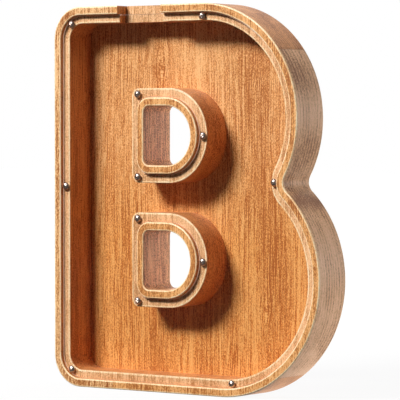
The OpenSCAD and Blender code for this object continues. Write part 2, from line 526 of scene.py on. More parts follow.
# %% [markdown]
# ## The coin slot and the pilot holes
# The slot is a plain notch, sawn across the top wall from the front to a little behind the
# chamber's middle. The pilot holes are drilled before the screws go in. They could be drawn into
# the loft, but they cross its strips. A Boolean modifier cuts them instead, with the exact
# solver, because its cutters end in the same flat faces as the box.

# %% The screws' places
SEAT_D = 1.8
HEAD_D = 4.6
SHANK_D = 2.2
SCREW_L = 12.0
LEDGE_MID = RIM_W + LEDGE_W / 2
CORNER_TURN = math.radians(51)
BOTTOM_TURN = math.radians(6)
LEFT_SCREW_Z = 121.6

# Round a bend the screws stand on the middle of the ledge, at an angle from the bend's centre
corner_x = CORNER_R - (CORNER_R - LEDGE_MID) * math.cos(CORNER_TURN)
corner_in = CORNER_R - (CORNER_R - LEDGE_MID) * math.sin(CORNER_TURN)
bottom_r = LOWER_R - LEDGE_MID
FRAME_SCREWS = [
    (corner_x, BODY_H - corner_in),
    (UPPER_C.x - 1, BODY_H - LEDGE_MID),
    (WAIST_C.x - WAIST_R - LEDGE_MID, WAIST_C.y),
    (LOWER_C.x + bottom_r * math.sin(BOTTOM_TURN), LOWER_C.y - bottom_r * math.cos(BOTTOM_TURN)),
    (corner_x, corner_in),
    (LEDGE_MID, LEFT_SCREW_Z),
]
FROM_RING_LEFT = 5.0
FROM_RING_TOP = 3.5
FROM_RING_BOW = 2.4


def ring_screws(z):
    """The places of a ring's three screws: two at its left corners and one on its bow."""
    left = HOLE_X - RING_W + FROM_RING_LEFT
    rise = HOLE_H / 2 + RING_W - FROM_RING_TOP
    return [(left, z + rise), (HOLE_X + HOLE_W + RING_W - FROM_RING_BOW, z), (left, z - rise)]


SCREWS = FRAME_SCREWS + ring_screws(UPPER_HOLE_Z) + ring_screws(LOWER_HOLE_Z)
print("screws:", [(round(x, 1), round(z, 1)) for x, z in SCREWS])

# %% Cutters
SLOT_X = 48.5
SLOT_W = 32.5
SLOT_BACK = 9.3
WALL_W = RIM_W + LEDGE_W
CUT = 1.0
PILOT_R = SHANK_D / 2 + 0.05
PILOT_START = 0.2
PILOT_END = SEAT_D + SCREW_L + 1.0
ROUND_HOLE_SIDES = 24
PLAIN_WALL, SAWN_WALL = 0, 1


def link_mesh(name, mesh):
    """A new object for a bmesh, in the scene."""
    data = bpy.data.meshes.new(name)
    mesh.to_mesh(data)
    mesh.free()
    obj = bpy.data.objects.new(name, data)
    bpy.context.scene.collection.objects.link(obj)
    return obj


def prism(mesh, points, front, back):
    """A closed prism between two depths, its points anticlockwise as seen from the front."""
    near, far = ([mesh.verts.new(place(x, z, depth)) for x, z in points] for depth in (front, back))
    mesh.faces.new(near)
    mesh.faces.new(list(reversed(far)))
    for i in range(len(points)):
        j = (i + 1) % len(points)
        mesh.faces.new((near[i], far[i], far[j], near[j]))


def circle_points(x, z, radius):
    """Points on the edge of a small round hole."""
    turns = [2 * math.pi * i / ROUND_HOLE_SIDES for i in range(ROUND_HOLE_SIDES)]
    return [(x + radius * math.cos(a), z + radius * math.sin(a)) for a in turns]


cutters = bmesh.new()
slot_low, slot_high = BODY_H - WALL_W - CUT, BODY_H + CUT
slot_right = SLOT_X + SLOT_W
slot_corners = [(SLOT_X, slot_low), (slot_right, slot_low), (slot_right, slot_high), (SLOT_X, slot_high)]
prism(cutters, slot_corners, -CUT, SLOT_BACK)
cutters.normal_update()
for wall in cutters.faces:
    looks_sideways = abs(wall.normal.x) > 0.9
    wall.material_index = SAWN_WALL if looks_sideways else PLAIN_WALL
for x, z in SCREWS:
    prism(cutters, circle_points(x, z, PILOT_R), PILOT_START, PILOT_END)
cutters.normal_update()
print("cutters:", len(cutters.faces), "faces")

# %% The cut
# The zones get their materials before the cut, because the Boolean gives a face that it takes
# from the cutter the slot on the box that holds the same material
ZONE_NAMES = ("face", "side", "chamber", "hole", "floor", "arris", "ledge", "slot")

cutter_object = link_mesh("cutters", cutters)
body_object = link_mesh("body_uncut", body)
zone_stand_ins = [bpy.data.materials.new("zone_" + name) for name in ZONE_NAMES]
for stand_in in zone_stand_ins:
    body_object.data.materials.append(stand_in)
for zone in (LEDGE, SLOT):
    cutter_object.data.materials.append(zone_stand_ins[zone])
cut = body_object.modifiers.new("slot_and_pilots", "BOOLEAN")
cut.operation = "DIFFERENCE"
cut.solver = "EXACT"
cut.object = cutter_object
depsgraph = bpy.context.evaluated_depsgraph_get()
cut_mesh = bpy.data.meshes.new_from_object(body_object.evaluated_get(depsgraph))
for used_up in (body_object, cutter_object):
    bpy.data.objects.remove(used_up)
print("cut box:", len(cut_mesh.polygons), "faces")

# %% [markdown]
# ## Sawing the box into its staves
# The real board is glued up from staves before it is shaped, so each stave shows its own grain on
# every face. Five staves could be modelled one by one, but then their edges would have to match.
# Here the finished box is cut at the glue lines, and each cut is closed by a flat face. The
# neighbours share their edges exactly, and no gap can show.

# %% Helpers for the staves
LAST_JOINT_IN = 3.2
GLUE_LINES = [45.0, 88.0, 139.0, WAIST_C.x - WAIST_R - LAST_JOINT_IN]
STAVES = ["left_stave", "slot_stave", "centre_stave", "waist_stave", "right_stave"]
SHARP = math.radians(38)


def saw(mesh, x, keep_left):
    """Cuts a bmesh at a glue line, drops one side and closes the cut."""
    normal = Vector((1, 0, 0)) if keep_left else Vector((-1, 0, 0))
    everything = mesh.verts[:] + mesh.edges[:] + mesh.faces[:]
    result = bmesh.ops.bisect_plane(mesh, geom=everything, plane_co=place(x, 0, 0), plane_no=normal,
                                    clear_outer=True, dist=1e-7)
    edges = [e for e in result["geom_cut"] if isinstance(e, bmesh.types.BMEdge)]
    closed = bmesh.ops.triangle_fill(mesh, edges=edges, use_beauty=True, normal=normal)
    face_up(closed, normal, FACE)


def smooth_by_angle(obj):
    """Smooth shading with sharp arrises, and normals that large flat faces lead."""
    obj.data.polygons.foreach_set("use_smooth", [True] * len(obj.data.polygons))
    obj.data.set_sharp_from_angle(angle=SHARP)
    weighted = obj.modifiers.new("flat_faces_lead", "WEIGHTED_NORMAL")
    weighted.keep_sharp = True
    weighted.weight = 100
    settled = bpy.data.meshes.new_from_object(obj.evaluated_get(bpy.context.evaluated_depsgraph_get()))
    obj.modifiers.clear()
    obj.data = settled


print("glue lines at", [round(x, 1) for x in GLUE_LINES], "mm")

# %% The staves
stave_objects = []
edges_of_staves = [None, *GLUE_LINES, None]
for name, left, right in zip(STAVES, edges_of_staves, edges_of_staves[1:]):
    part = bmesh.new()
    part.from_mesh(cut_mesh)
    if left is not None:
        saw(part, left, keep_left=False)
    if right is not None:
        saw(part, right, keep_left=True)
    open_edges = sum(1 for e in part.edges if not e.is_manifold)
    volume = part.calc_volume() * 1e6
    stave = link_mesh(name + "_shaped", part)
    for stand_in in zone_stand_ins:
        stave.data.materials.append(stand_in)
    smooth_by_angle(stave)
    stave_objects.append(stave)
    print(f"{name}: {len(stave.data.polygons)} faces, open edges {open_edges}, {volume:.1f} cm3")

# %% [markdown]
# ## The clear front
# The front is laser-cut from 1.8 mm cast acrylic, which leaves its edges glossy and square. It
# lies on the ledge with 0.4 mm of air all round. A flat mesh with a Solidify modifier would do
# for a plain pane. Here the outline is the box's own, moved in, so the pane is lofted like the
# walls. That gives it a tiny chamfer at each arris, and its edges their own finish.

# %% The pane's edges
WINDOW_GAP = 0.4
WINDOW_CHAMFER = 0.3
BACK_CHAMFER = 0.1
WINDOW_HOLE_R = SHANK_D / 2 + 0.4
SHEET, SHEET_EDGE, SHEET_ARRIS, SHEET_FREE = range(4)

sheet = bmesh.new()
edge_in = RIM_W + WINDOW_GAP
sheet_profile = [
    (edge_in + BACK_CHAMFER, REBATE_D, SHEET_EDGE),
    (edge_in, REBATE_D - BACK_CHAMFER, SHEET),
    (edge_in, SEAT_D + WINDOW_CHAMFER, SHEET_EDGE),
    (edge_in + WINDOW_CHAMFER, SEAT_D, SHEET_ARRIS),
]
rings = [[place(x, z, d) for x, z in outline(offset)] for offset, d, _ in sheet_profile]
back, front = loft(sheet, rings, [zone for *_, zone in sheet_profile])
back_loops, front_loops = [back], [front]
for hole_z in (UPPER_HOLE_Z, LOWER_HOLE_Z):
    rings = [[place(x, z, d) for x, z in dee(hole_z, offset, HOLE_CORNER + offset)]
             for offset, d, _ in reversed(sheet_profile)]
    near, far = loft(sheet, rings, [SHEET_ARRIS, SHEET_ARRIS, SHEET_EDGE, SHEET])
    front_loops.append(near)
    back_loops.append(far)
for x, z in SCREWS:
    rings = [[place(px, pz, d) for px, pz in circle_points(x, z, WINDOW_HOLE_R)] for d in (SEAT_D, REBATE_D)]
    near, far = loft(sheet, rings, [SHEET_EDGE, SHEET_EDGE])
    front_loops.append(near)
    back_loops.append(far)
print("faces along the pane's edges:", len(sheet.faces))

# %% The pane's flat faces
sheet.normal_update()
fill(sheet, front_loops, (0, -1, 0), SHEET)
fill(sheet, back_loops, (0, 1, 0), SHEET)
# Where the sheet crosses the coin slot its edge lies free in the light and hardly shows
free_from = place(SLOT_X - 1, 0, 0).x
free_to = place(SLOT_X + SLOT_W + 1, 0, 0).x
for strip in sheet.faces:
    middle = strip.calc_center_median()
    if middle.z > (BODY_H - WALL_W) * MM and free_from < middle.x < free_to:
        strip.material_index = SHEET_FREE
print("window open edges:", sum(1 for e in sheet.edges if not e.is_manifold),
      "volume cm3:", round(sheet.calc_volume() * 1e6, 2))
window = link_mesh("clear_window", sheet)
smooth_by_angle(window)

# %% [markdown]
# ## The screws
# Twelve small domed screws with a cross recess hold the sheet. They are all alike, so Geometry
# Nodes make one from its sizes and set it on each place, turned at random, because no one
# drives a screw to an exact angle. The thread is a true helix: a grid rolled into a tube, whose
# radius swells once in each turn. A profile swept along a spiral could make it too, but its
# coils would cut through the shank instead of being one closed skin with it.

# %% The screws' sizes
AROUND = 20
DOWN = 96
DOME_SIDES = 40
DRUM_WIDER = 1.2
THREAD_SHARE = 0.34
WELD = 1e-6
SCREW_SIZES = {
    "Head Diameter": HEAD_D * MM,
    "Head Height": 1.4 * MM,
    "Shank Diameter": SHANK_D * MM,
    "Shank Length": SCREW_L * MM,
    "Point Length": 2.5 * MM,
    "Thread Pitch": 1.0 * MM,
    "Thread Depth": 0.32 * MM,
    "Recess Width": 0.6 * MM,
    "Recess Depth": 0.75 * MM,
    "Recess Length": 2.5 * MM,
}
screw = bpy.data.node_groups.new("domed_screws", "GeometryNodeTree")
sockets = screw.interface
sockets.new_socket("Geometry", in_out="INPUT", socket_type="NodeSocketGeometry")
for name in SCREW_SIZES:
    sockets.new_socket(name, in_out="INPUT", socket_type="NodeSocketFloat").subtype = "DISTANCE"
sockets.new_socket("Seed", in_out="INPUT", socket_type="NodeSocketInt")
sockets.new_socket("Material", in_out="INPUT", socket_type="NodeSocketMaterial")
sockets.new_socket("Geometry", in_out="OUTPUT", socket_type="NodeSocketGeometry")
given = add(screw, "NodeGroupInput").outputs
print("the screws' inputs:", [output.name for output in given if output.name])

# %% The domed head: the slice of a ball that meets the seat at the head's edge
MOVE = "GeometryNodeTransform"
BOOLEAN = "GeometryNodeMeshBoolean"

head_r = add(screw, MATH, [given["Head Diameter"], 0.5], operation="MULTIPLY")
r_squared = add(screw, MATH, [head_r, head_r], operation="MULTIPLY")
h_squared = add(screw, MATH, [given["Head Height"], given["Head Height"]], operation="MULTIPLY")
both_squared = add(screw, MATH, [r_squared, h_squared], operation="ADD")
twice_height = add(screw, MATH, [given["Head Height"], 2.0], operation="MULTIPLY")
ball_r = add(screw, MATH, [both_squared, twice_height], operation="DIVIDE")
ball = add(screw, "GeometryNodeMeshUVSphere", [DOME_SIDES, DOME_SIDES, ball_r])
ball_z = add(screw, MATH, [given["Head Height"], ball_r], operation="SUBTRACT")
ball_up = add(screw, MOVE, {"Geometry": ball, "Translation": add(screw, COMBINE, {"Z": ball_z})})
drum_r = add(screw, MATH, [head_r, DRUM_WIDER], operation="MULTIPLY")
drum = add(screw, "GeometryNodeMeshCylinder", {
    "Vertices": DOME_SIDES, "Radius": drum_r, "Depth": twice_height}, fill_type="NGON")
head_top = add(screw, COMBINE, {"Z": given["Head Height"]})
drum_up = add(screw, MOVE, {"Geometry": drum, "Translation": head_top})
dome = add(screw, BOOLEAN, {"Mesh 2": [ball_up, drum_up]}, operation="INTERSECT", solver="EXACT")
print("nodes up to the dome:", len(screw.nodes))

# %% The cross recess: one bar and the same bar turned a quarter
bar_height = add(screw, MATH, [given["Recess Depth"], 2.0], operation="MULTIPLY")
bar_size = add(screw, COMBINE, [given["Recess Length"], given["Recess Width"], bar_height])
bar = add(screw, "GeometryNodeMeshCube", {"Size": bar_size})
bar_up = add(screw, MOVE, {"Geometry": bar, "Translation": head_top})
bar_turned = add(screw, MOVE, {"Geometry": bar_up, "Rotation": (0, 0, math.pi / 2)})
head = add(screw, BOOLEAN, {"Mesh 1": dome, "Mesh 2": [bar_up, bar_turned]}, operation="DIFFERENCE",
           solver="EXACT")
print("nodes up to the head:", len(screw.nodes))

# %% The threaded shank: a unit grid, with x once round the screw and y down its length
grid = add(screw, "GeometryNodeMeshGrid", [1.0, 1.0, AROUND + 1, DOWN + 1])
on_grid = add(screw, SPLIT, [add(screw, "GeometryNodeInputPosition")]).outputs
turn = add(screw, MATH, [on_grid["X"], 0.5], operation="ADD")
down = add(screw, MATH, [on_grid["Y"], 0.5], operation="ADD")
distance = add(screw, MATH, [down, given["Shank Length"]], operation="MULTIPLY")
pitches = add(screw, MATH, [distance, given["Thread Pitch"]], operation="DIVIDE")
behind_turn = add(screw, MATH, [pitches, turn], operation="SUBTRACT")
phase = add(screw, MATH, [behind_turn], operation="FRACT")
off_crest = add(screw, MATH, [phase, 0.5], operation="SUBTRACT")
from_crest = add(screw, MATH, [off_crest], operation="ABSOLUTE")
crest = add(screw, RANGE, [from_crest, 0.0, THREAD_SHARE, 1.0, 0.0])
crest_r = add(screw, MATH, [given["Shank Diameter"], 0.5], operation="MULTIPLY")
below_crest = add(screw, MATH, [1.0, crest], operation="SUBTRACT")
cut_in = add(screw, MATH, [given["Thread Depth"], below_crest], operation="MULTIPLY")
thread_r = add(screw, MATH, [crest_r, cut_in], operation="SUBTRACT")
left_over = add(screw, MATH, [given["Shank Length"], distance], operation="SUBTRACT")
to_tip = add(screw, MATH, [left_over, given["Point Length"]], operation="DIVIDE")
taper = add(screw, MATH, [to_tip, 1.0], operation="MINIMUM")
radius = add(screw, MATH, [thread_r, taper], operation="MULTIPLY")
angle = add(screw, MATH, [turn, 2 * math.pi], operation="MULTIPLY")
cosine = add(screw, MATH, [angle], operation="COSINE")
sine = add(screw, MATH, [angle], operation="SINE")
tube_x = add(screw, MATH, [radius, cosine], operation="MULTIPLY")
tube_y = add(screw, MATH, [radius, sine], operation="MULTIPLY")
tube_z = add(screw, MATH, [distance, -1.0], operation="MULTIPLY")
tube_point = add(screw, COMBINE, [tube_x, tube_y, tube_z])
rolled = add(screw, "GeometryNodeSetPosition", {"Geometry": grid, "Position": tube_point})
shank = add(screw, "GeometryNodeMergeByDistance", {"Geometry": rolled, "Distance": WELD})
print("nodes up to the shank:", len(screw.nodes))

# %% One screw on every place, laid down so that its point looks into the wood
whole = add(screw, "GeometryNodeJoinGeometry", {"Geometry": [head, shank]})
spin = add(screw, "FunctionNodeRandomValue", {"Min": 0.0, "Max": math.pi / 2, "Seed": given["Seed"]},
           data_type="FLOAT")
lying = add(screw, "FunctionNodeEulerToRotation", [(math.pi / 2, 0, 0)])
about_axis = add(screw, "FunctionNodeAxisAngleToRotation", {"Axis": (0, 0, 1), "Angle": spin})
rotation = add(screw, "FunctionNodeRotateRotation", [lying, about_axis], rotation_space="LOCAL")
placed = add(screw, "GeometryNodeInstanceOnPoints", {
    "Points": given["Geometry"], "Instance": whole, "Rotation": rotation})
real = add(screw, "GeometryNodeRealizeInstances", {"Geometry": placed})
finished = add(screw, "GeometryNodeSetMaterial", {"Geometry": real, "Material": given["Material"]})
add(screw, "NodeGroupOutput", [finished])
print("nodes in the screws' tree:", len(screw.nodes))

# %% [markdown]
# ## The wood
# The board is beech: pale, fine and even, with flat grain on its faces and the lines of its
# growth rings on its sides. An image of wood would stop at each edge. A pattern in three
# dimensions goes through the whole box, as real grain does, so the faces, the walls of the holes
# and the arrises agree. The layers of the pattern are broad bands, streaks, fine lines, growth
# rings and short pores, and each comes from noise that is drawn out along the grain. They are
# built once, as a group of nodes that every wood finish uses with colours of its own.

# %% The group's sockets, and where a point is in the board
wood = bpy.data.node_groups.new("stave_wood", "ShaderNodeTree")
for name, way, kind in (
    ("Light", "INPUT", "NodeSocketColor"),
    ("Mid", "INPUT", "NodeSocketColor"),
    ("Dark", "INPUT", "NodeSocketColor"),
    ("Rings", "INPUT", "NodeSocketFloat"),
    ("Drift", "INPUT", "NodeSocketFloat"),
    ("Grain", "INPUT", "NodeSocketFloat"),
    ("Color", "OUTPUT", "NodeSocketColor"),
    ("Roughness", "OUTPUT", "NodeSocketFloat"),
    ("Height", "OUTPUT", "NodeSocketFloat"),
):
    wood.interface.new_socket(name, in_out=way, socket_type=kind)
finish = add(wood, "NodeGroupInput").outputs

in_metres = add(wood, COORDINATES).outputs["Object"]
in_mm = add(wood, VECTOR, {"Vector": in_metres, "Scale": 1 / MM}, operation="SCALE")
axes = add(wood, SPLIT, [in_mm]).outputs
across, inward, up = axes["X"], axes["Y"], axes["Z"]
steps = [add(wood, MATH, [across, x - BODY_W / 2], operation="GREATER_THAN") for x in GLUE_LINES]


def by_stave(amounts):
    """One number for each stave, as an output that steps at the glue lines."""
    value = add(wood, MATH, [amounts[0], 0.0], operation="ADD")
    for step, before, after in zip(steps, amounts, amounts[1:]):
        value = add(wood, MATH, [step, after - before, value], operation="MULTIPLY_ADD")
    return value


def bell(off_x, off_z, width, height):
    """1 in the middle, which fades in every direction and is nearly gone at twice width or height."""
    near_x = add(wood, MATH, [off_x, width], operation="DIVIDE")
    near_z = add(wood, MATH, [off_z, height], operation="DIVIDE")
    square = add(wood, MATH, [near_x, near_x], operation="MULTIPLY")
    square = add(wood, MATH, [near_z, near_z, square], operation="MULTIPLY_ADD")
    falling = add(wood, MATH, [square, -1.0], operation="MULTIPLY")
    return add(wood, MATH, [falling], operation="EXPONENT")


def drawn_out(vector, width, length, detail=1.0):
    """Noise about 0 with features width mm across the grain and length mm along it."""
    scaled = add(wood, VECTOR, [vector, (1 / width, 1 / width, 1 / length)], operation="MULTIPLY")
    soft = add(wood, NOISE, {"Vector": scaled, "Scale": 1.0, "Detail": detail, "Roughness": 0.5})
    return add(wood, MATH, [soft, 0.5], operation="SUBTRACT")


print("steps at the glue lines:", len(steps))

# %% Two pin knots
# A knot pushes the grain aside, so the pattern is squeezed towards its middle. Its dark core is
# under 2 mm wide. Each row gives the place across, the place up and how far the knot reaches.
KNOTS = [(65.2, 194.2, 6.0), (141.4, 50.2, 5.0)]
KNOT_CORE = 0.9
KNOT_TALL = 1 / 0.45
KNOT_SQUEEZE = 0.75

squeezed = across
knot_core = 0.0
for knot_x, knot_z, knot_reach in KNOTS:
    off_x = add(wood, MATH, [across, knot_x - BODY_W / 2], operation="SUBTRACT")
    off_z = add(wood, MATH, [up, knot_z], operation="SUBTRACT")
    swell = bell(off_x, off_z, knot_reach, knot_reach * KNOT_TALL)
    pushed = add(wood, MATH, [off_x, swell], operation="MULTIPLY")
    squeezed = add(wood, MATH, [pushed, -KNOT_SQUEEZE, squeezed], operation="MULTIPLY_ADD")
    core = bell(off_x, off_z, KNOT_CORE, KNOT_CORE * KNOT_TALL)
    knot_core = add(wood, MATH, [core, knot_core], operation="ADD")
print("knots:", len(KNOTS))

# %% Grain that wanders on its way up, and differs from stave to stave
# Each stave reads the noise somewhere else, by shifts in mm that are longer than any feature
STAVE_SHIFT = (53.0, 31.0, 417.0)
WANDER_MM = 9.0
JITTER_MM = 1.6
BEND_INWARD = 0.4

stave_number = by_stave([0, 1, 2, 3, 4])
shift = add(wood, VECTOR, [add(wood, COMBINE, [stave_number] * 3), STAVE_SHIFT], operation="MULTIPLY")
straight = add(wood, COMBINE, [squeezed, inward, up])
own = add(wood, VECTOR, [straight, shift], operation="ADD")
wander = drawn_out(own, 30, 110)
jitter = drawn_out(own, 6, 30)
slow_bend = add(wood, MATH, [wander, WANDER_MM], operation="MULTIPLY")
bend = add(wood, MATH, [jitter, JITTER_MM, slow_bend], operation="MULTIPLY_ADD")
bend_inward = add(wood, MATH, [bend, BEND_INWARD], operation="MULTIPLY")
bent = add(wood, VECTOR, [own, add(wood, COMBINE, [bend, bend_inward])], operation="ADD")
print("nodes up to the bent grain:", len(wood.nodes))

# %% Growth rings
# A beech adds about 1 to 4 mm in a year. The rings lie in layers that lean a little in each
# stave, so they show as lines on the sides. Dark late wood builds up to the end of a year and
# then stops.
RING_MM = 2.9
RING_LEAN = [0.22, -0.18, 0.12, -0.30, 0.10]
RING_BEND = 0.30
RING_ROLL_MM = 14.0
LATE_STARTS, LATE_FULL, YEAR_ENDS = 0.45, 0.90, 1.0
PALE_PATCH, STRONG_PATCH = -0.22, 0.08

lean = add(wood, MATH, [squeezed, by_stave(RING_LEAN)], operation="MULTIPLY")
layers = add(wood, MATH, [inward, lean], operation="ADD")
layers = add(wood, MATH, [bend, RING_BEND, layers], operation="MULTIPLY_ADD")
roll = drawn_out(own, 60, 60, detail=0.0)
layers = add(wood, MATH, [roll, RING_ROLL_MM, layers], operation="MULTIPLY_ADD")
years = add(wood, MATH, [layers, RING_MM], operation="DIVIDE")
time_of_year = add(wood, MATH, [years], operation="FRACT")
builds_up = add(wood, RANGE, [time_of_year, LATE_STARTS, LATE_FULL, 0.0, 1.0])
stops = add(wood, RANGE, [time_of_year, YEAR_ENDS, LATE_FULL, 0.0, 1.0])
strong_here = add(wood, RANGE, [drawn_out(own, 9, 45), PALE_PATCH, STRONG_PATCH, 0.0, 1.0])
late_wood = add(wood, MATH, [builds_up, stops], operation="MULTIPLY")
late_wood = add(wood, MATH, [late_wood, strong_here], operation="MULTIPLY")
late_wood = add(wood, MATH, [late_wood, finish["Rings"]], operation="MULTIPLY")
print("nodes up to the rings:", len(wood.nodes))

# %% Bands, streaks, lines, fibres and pores
# Real fibres and pores are some hundredths of a millimetre wide. A render of the whole
# box can't show them, so the lines, fibres and specks are drawn half a millimetre wide, and the
# pores as dashes of nearly a millimetre that lie 1.5 mm apart.
THIN_LINE = 0.028
PORE_CORE, PORE_EDGE = 0.14, 0.30
BARE_PATCH, PORE_PATCH = -0.08, 0.14
PORES_PER_MM = (1 / 1.5, 1 / 1.5, 1 / 6.0)

bands = drawn_out(bent, 11, 260)
streaks = drawn_out(bent, 2.6, 130, detail=2.0)
lines = drawn_out(bent, 0.5, 80)
fibres = drawn_out(bent, 0.45, 10)
specks = drawn_out(own, 0.5, 1.0)

# Thin dark lines lie where a slow noise crosses its middle
crossing = add(wood, MATH, [drawn_out(bent, 5.5, 240, detail=1.5)], operation="ABSOLUTE")
thin_lines = add(wood, RANGE, [crossing, THIN_LINE, 0.0, 0.0, 1.0])

# Pores and rays are short dark dashes that gather in some places
pore_places = add(wood, VECTOR, [bent, PORES_PER_MM], operation="MULTIPLY")
from_pore = add(wood, "ShaderNodeTexVoronoi", {"Vector": pore_places, "Scale": 1.0}, feature="F1")
dash = add(wood, RANGE, [from_pore, PORE_CORE, PORE_EDGE, 1.0, 0.0])
dash_zone = add(wood, RANGE, [drawn_out(own, 10, 40), BARE_PATCH, PORE_PATCH, 0.0, 1.0])
pores = add(wood, MATH, [dash, dash_zone], operation="MULTIPLY")
print("nodes up to the pores:", len(wood.nodes))

# %% The board's figure, and painted light and shade
# Streaks that noise alone would put elsewhere. Each row gives a streak's place across, half its
# width, its strength (below 0 for a pale one), the height of its middle and its reach up and down.
# The last seven rows are not grain: they are painted light and shade on the outer side and the top rim.
FIGURE_AND_PAINTED_LIGHT = [
    (149.5, 9.0, 0.24, 72.0, 50.0),
    (141.8, 2.5, 0.12, 72.0, 45.0),
    (136.8, 2.5, -0.12, 72.0, 45.0),
    (149.9, 0.9, 0.36, 80.0, 30.0),
    (163.2, 0.9, 0.34, 78.0, 26.0),
    (165.5, 5.0, -0.32, 60.0, 45.0),
    (130.0, 5.0, -0.12, 74.0, 38.0),
    (132.8, 1.0, 0.26, 109.0, 9.0),
    (122.8, 0.7, 0.26, 165.0, 34.0),
    (139.9, 0.8, 0.26, 178.0, 7.0),
    (39.2, 2.4, 0.16, 82.0, 60.0),
    (29.6, 0.7, 0.16, 88.0, 50.0),
    (24.2, 0.7, 0.14, 88.0, 40.0),
    (90.0, 16.0, -0.16, 192.0, 26.0),
    (125.0, 13.0, 0.16, 190.0, 30.0),
    (39.0, 7.0, 0.08, 192.0, 24.0),
    (62.0, 6.0, 0.11, 192.0, 18.0),
    (127.0, 10.0, 0.13, 108.0, 16.0),
    (155.0, 5.0, -0.16, 108.0, 12.0),
    (55.3, 8.0, -0.18, 114.0, 12.0),
    # Painted light and shade: a dark and a pale patch high on the right side, a pale foot, a pale patch low
    # on the right, a painted shadow under the waist, a pale right tip, and a pale left end of the top rim
    (175.0, 3.2, 0.40, 163.0, 26.0),
    (183.0, 4.5, -0.55, 162.0, 34.0),
    (152.0, 12.0, -0.40, 3.0, 6.0),
    (166.0, 13.0, -0.24, 18.0, 15.0),
    (177.5, 5.0, 0.60, 115.5, 6.5),
    (191.0, 5.0, -0.24, 70.0, 34.0),
    (30.0, 16.0, -0.34, 228.0, 8.0),
]
STREAK_LEAN = 0.045
STREAK_WAVE_MM = 1.2

figure_and_painted_light = 0.0
for streak_x, half_width, strength, mid_z, streak_reach in FIGURE_AND_PAINTED_LIGHT:
    from_mid = add(wood, MATH, [up, mid_z], operation="SUBTRACT")
    off_x = add(wood, MATH, [across, streak_x - BODY_W / 2], operation="SUBTRACT")
    off_x = add(wood, MATH, [from_mid, STREAK_LEAN, off_x], operation="MULTIPLY_ADD")
    off_x = add(wood, MATH, [jitter, STREAK_WAVE_MM, off_x], operation="MULTIPLY_ADD")
    streak = bell(off_x, from_mid, half_width, streak_reach)
    figure_and_painted_light = add(wood, MATH, [streak, strength, figure_and_painted_light], operation="MULTIPLY_ADD")
print("streaks placed:", len(FIGURE_AND_PAINTED_LIGHT))

# %% From layers to a tone
# One number from 0, dark, to 1, light. Each layer moves it by its own amount.
STAVE_TONES = [0.58, 0.52, 0.55, 0.51, 0.56]

fine = 0.0
for layer, amount in ((lines, 2.2), (fibres, 1.7), (specks, 2.6)):
    fine = add(wood, MATH, [layer, amount, fine], operation="MULTIPLY_ADD")
tone = by_stave(STAVE_TONES)
for layer, amount in (
    (bands, 1.1),
    (streaks, 0.45),
    (fine, finish["Grain"]),
    (late_wood, -1.0),
    (thin_lines, -0.12),
    (figure_and_painted_light, -1.0),
    (knot_core, -0.7),
    (pores, -0.15),
):
    tone = add(wood, MATH, [layer, amount, tone], operation="MULTIPLY_ADD")
print("nodes up to the tone:", len(wood.nodes))

# %% From tone to colour
# The colour drifts from a deeper orange at the board's foot to straw in its upper part.
# Some finishes take this drift.
FOOT_TINT = (0.97, 0.93, 0.80, 1.0)
TOP_TINT = (1.0, 1.09, 1.32, 1.0)
DRIFT_STARTS, DRIFT_ENDS = 90.0, 150.0
DRIFT_WAVE_MM = 30.0
GLUE_HALF = 0.16
GLUE_DARK = 0.4

lower_half = add(wood, RANGE, [tone, 0.0, 0.5, 0.0, 1.0])
upper_half = add(wood, RANGE, [tone, 0.5, 1.0, 0.0, 1.0])
darker = add(wood, MIX, {"Factor": lower_half, "A": finish["Dark"], "B": finish["Mid"]}, data_type="RGBA")
colour = add(wood, MIX, {"Factor": upper_half, "A": darker, "B": finish["Light"]}, data_type="RGBA")
wavy_up = add(wood, MATH, [wander, DRIFT_WAVE_MM, up], operation="MULTIPLY_ADD")
rise = add(wood, RANGE, [wavy_up, DRIFT_STARTS, DRIFT_ENDS, 0.0, 1.0])
tint = add(wood, MIX, {"Factor": rise, "A": FOOT_TINT, "B": TOP_TINT}, data_type="RGBA")
drifted = add(wood, MIX, {"Factor": finish["Drift"], "A": colour, "B": tint}, data_type="RGBA",
              blend_type="MULTIPLY")

# A hair of dark glue shows at each joint
glue = 0.0
for x in GLUE_LINES:
    near_joint = add(wood, MATH, [across, x - BODY_W / 2, GLUE_HALF], operation="COMPARE")
    glue = add(wood, MATH, [near_joint, glue], operation="MAXIMUM")
glue_share = add(wood, MATH, [glue, GLUE_DARK], operation="MULTIPLY")
glued = add(wood, MIX, {"Factor": glue_share, "A": drifted, "B": finish["Dark"]}, data_type="RGBA")
print("joints drawn:", len(GLUE_LINES))

# %% The wood's relief and its sheen
# Fibres stand up a little and pores lie deep. Both scatter light, so they are less glossy.
FIBRE_RISE = 0.5
PORE_FALL = 0.8
CLOSED_GRAIN, OPEN_GRAIN = -0.2, 0.7
SATIN, DULL = 0.40, 0.58

raised = add(wood, MATH, [fibres, FIBRE_RISE], operation="MULTIPLY")
relief = add(wood, MATH, [pores, -PORE_FALL, raised], operation="MULTIPLY_ADD")
openness = add(wood, MATH, [fibres, pores], operation="ADD")
roughness = add(wood, RANGE, [openness, CLOSED_GRAIN, OPEN_GRAIN, SATIN, DULL])
add(wood, "NodeGroupOutput", {"Color": glued, "Roughness": roughness, "Height": relief})
print("nodes in the wood's tree:", len(wood.nodes))

# %% [markdown]
# ## One wood finish for each zone
# The same beech looks different where it was planed, sanded, routed or sawn, and where oil was
# rubbed on. One finish for all would lose that, and a mask would need painting. The stations of
# the loft already say which zone each face is in, so each zone simply gets a finish of its own:
# three colours for the tones of the grain, how strongly its rings and fine grain show, and how
# much thin oil lies on it as a coat. Two finishes also hold painted light: the pale arrises carry
# painted highlight lines, and the chamber walls a painted deeper orange for the light they trade.

# %% A helper for wood finishes
WOOD_IOR = 1.5
COAT_ROUGHNESS = 0.3
RELIEF_STRENGTH = 0.35
RELIEF_DEPTH = 0.12 * MM


